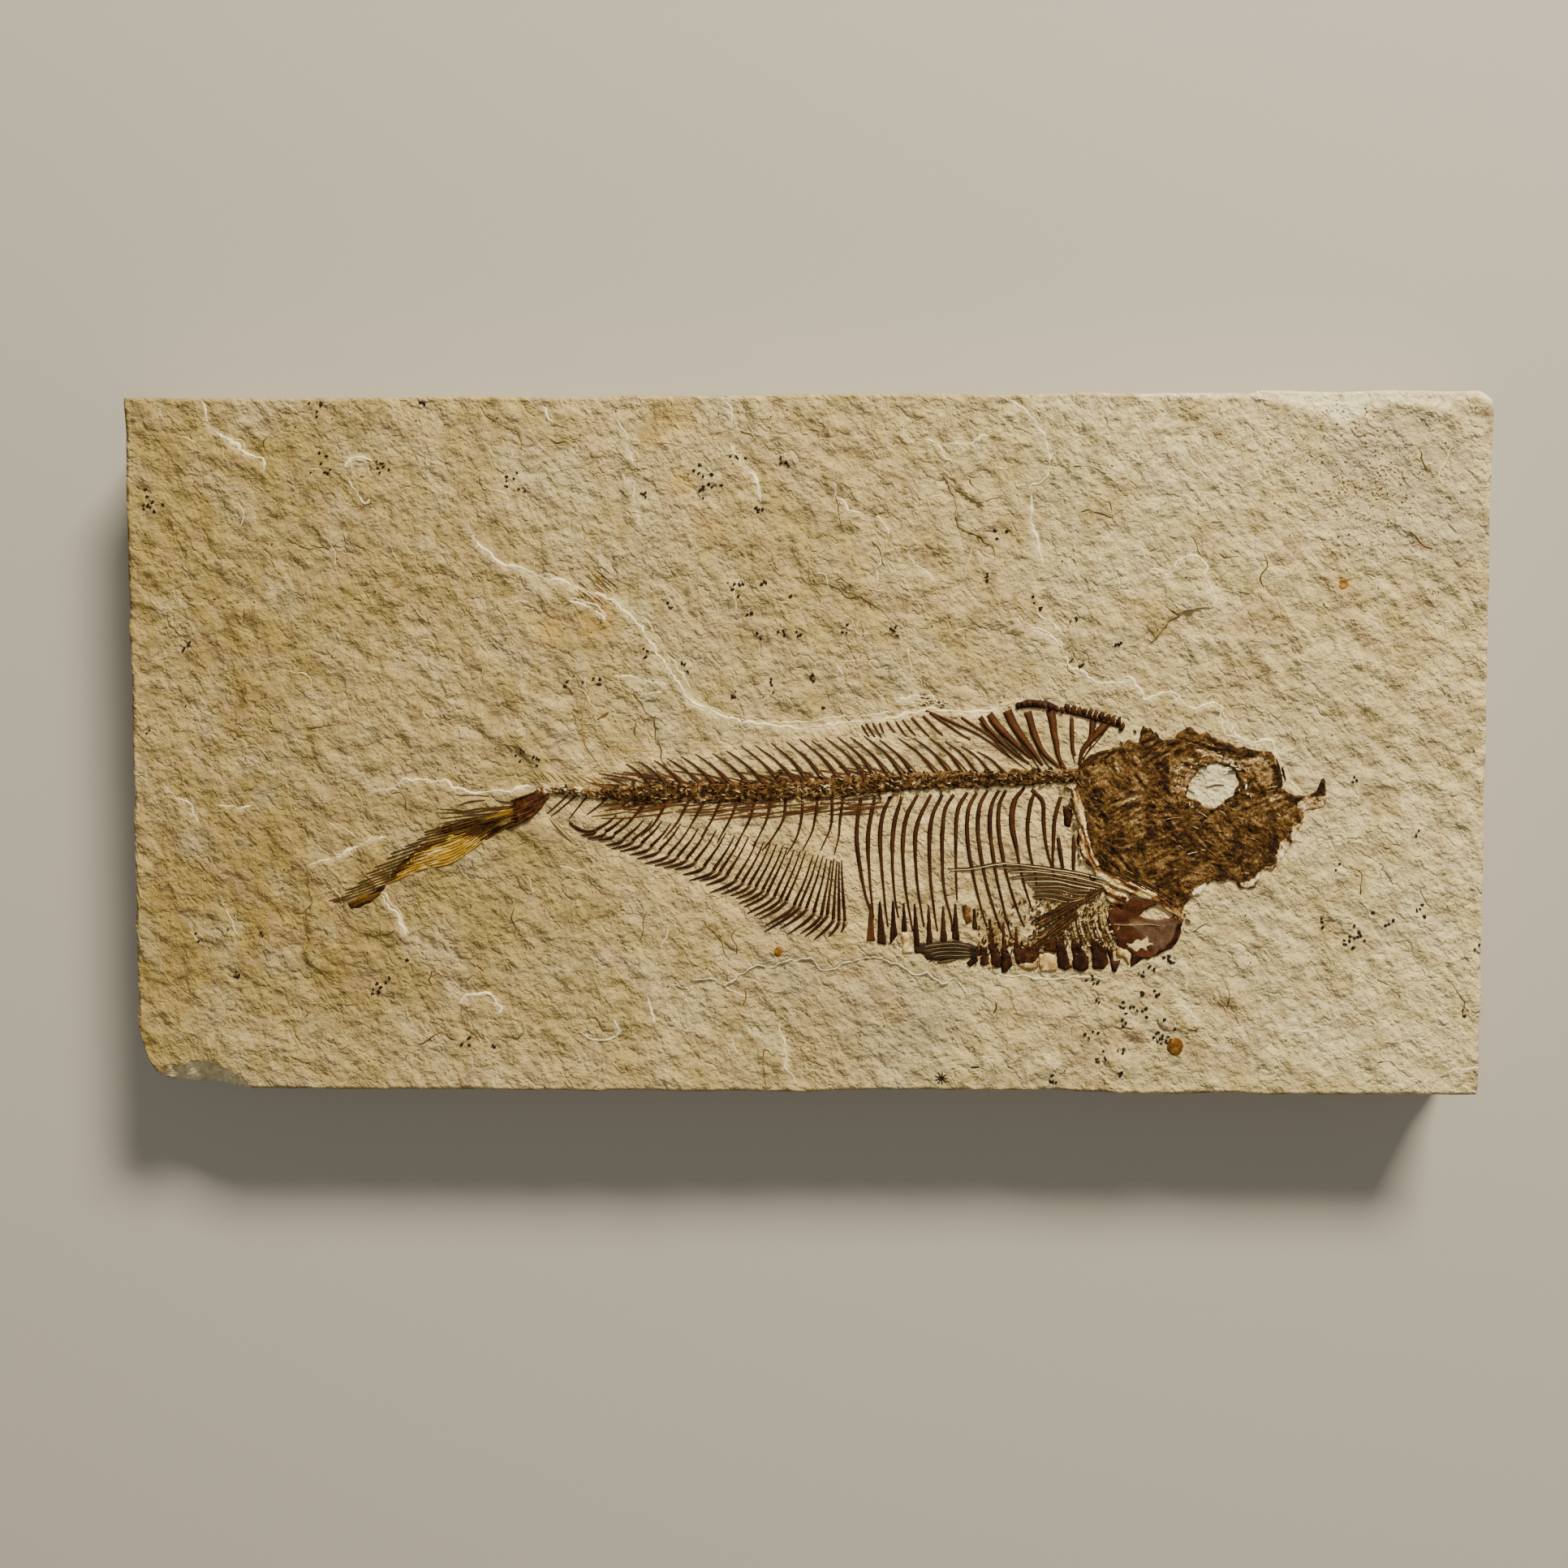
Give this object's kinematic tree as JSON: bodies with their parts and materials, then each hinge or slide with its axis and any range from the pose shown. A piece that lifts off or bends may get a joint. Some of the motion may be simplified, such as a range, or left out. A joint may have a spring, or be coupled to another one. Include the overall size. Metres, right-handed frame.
{
  "type": "fossil fish slab",
  "caption": "Rectangular plate of split limestone with a whole herring-like fossil fish on its face, lying on its flat back for display.",
  "frame": {"origin": "middle of the plate's outline on its flat back", "axes": "+X along the plate towards the fish's snout, +Y towards the edge above the fish's back, +Z out of the fossil face"},
  "size_m": [0.3, 0.155, 0.0205],
  "materials": {
    "limestone": "matt split limestone, warm cream-tan, near white where freshly broken",
    "bone_brown": "mineralised bone, mottled mid brown with ochre, satin",
    "bone_dark": "mineralised bone, very dark brown, satin",
    "bone_cream": "mineralised bone, pale cream-yellow, satin",
    "bone_amber": "mineralised fin rays, ochre to dark brown, satin",
    "bone_black": "mineralised fin rays, grey-black, satin"
  },
  "bodies": {
    "root": {"limestone_slab": "limestone", "backbone": "bone_brown", "skull": "bone_brown", "shoulder_band": "bone_cream", "shoulder_plate": "bone_brown", "back_keel": "bone_dark", "breast_fin": "bone_amber", "hip_fin": "bone_black", "anal_fin": "bone_dark", "tail_fin": "bone_amber", "rib_01": "bone_dark", "rib_02": "bone_dark", "rib_03": "bone_dark", "rib_04": "bone_dark", "rib_05": "bone_dark", "rib_06": "bone_dark", "rib_07": "bone_dark", "rib_08": "bone_dark", "rib_09": "bone_dark", "rib_10": "bone_dark", "rib_11": "bone_dark", "rib_12": "bone_dark", "rib_13": "bone_dark", "rib_14": "bone_dark", "rib_15": "bone_dark", "rib_16": "bone_dark", "rib_17": "bone_dark", "rib_18": "bone_dark", "rib_19": "bone_dark", "nape_bone_01": "bone_dark", "nape_bone_02": "bone_dark", "nape_bone_03": "bone_dark", "nape_bone_04": "bone_dark", "nape_bone_05": "bone_dark", "nape_bone_06": "bone_dark", "nape_bone_07": "bone_dark", "nape_bone_08": "bone_dark", "belly_plate_01": "bone_dark", "belly_plate_02": "bone_dark", "belly_plate_03": "bone_dark", "belly_plate_04": "bone_dark", "belly_plate_05": "bone_dark", "belly_plate_06": "bone_dark", "belly_plate_07": "bone_dark", "belly_plate_08": "bone_dark", "belly_plate_09": "bone_dark", "belly_plate_10": "bone_dark", "belly_plate_11": "bone_dark", "belly_plate_12": "bone_dark", "belly_plate_13": "bone_dark", "belly_plate_14": "bone_dark", "belly_plate_15": "bone_dark", "belly_plate_16": "bone_dark", "belly_plate_17": "bone_dark"}
  },
  "joints": []
}
